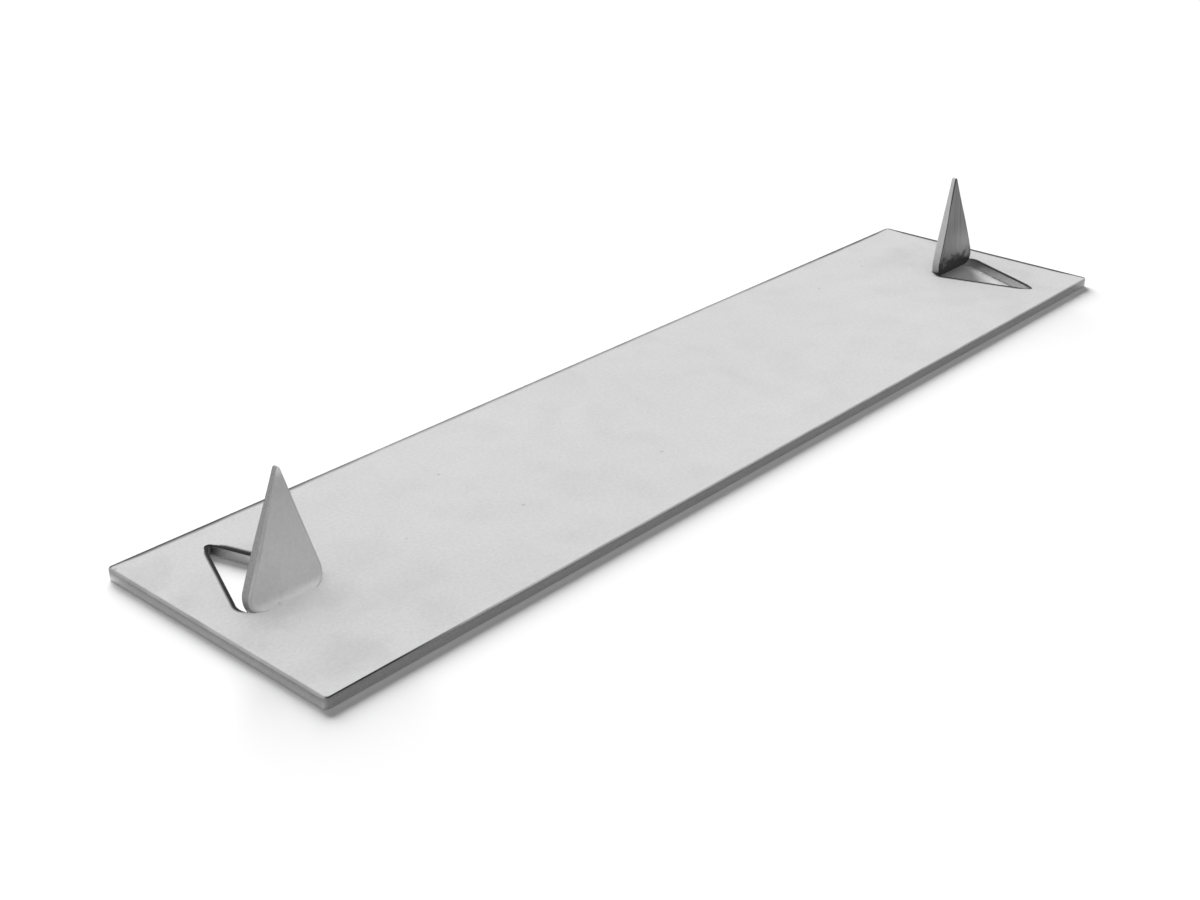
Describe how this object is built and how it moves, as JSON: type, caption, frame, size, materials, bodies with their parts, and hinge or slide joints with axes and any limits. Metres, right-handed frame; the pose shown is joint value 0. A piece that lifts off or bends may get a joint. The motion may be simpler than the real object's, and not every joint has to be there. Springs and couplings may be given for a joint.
{
  "type": "stud guard",
  "caption": "Flat galvanised steel strip with pointed prongs lanced and folded up near its ends, hammered onto the edge of a stud to shield pipes and cables from nails and screws.",
  "frame": {"origin": "middle of the strip's back face, the face with no prongs, which it lies on", "axes": "+X along the strip's length, +Y across it, +Z out of the prong face, the way the prongs point"},
  "size_m": [0.1524, 0.0382, 0.0164],
  "materials": {
    "galvanised_sheet": "matte galvanised"
  },
  "bodies": {
    "root": {"guard_plate": "galvanised_sheet"}
  },
  "joints": []
}
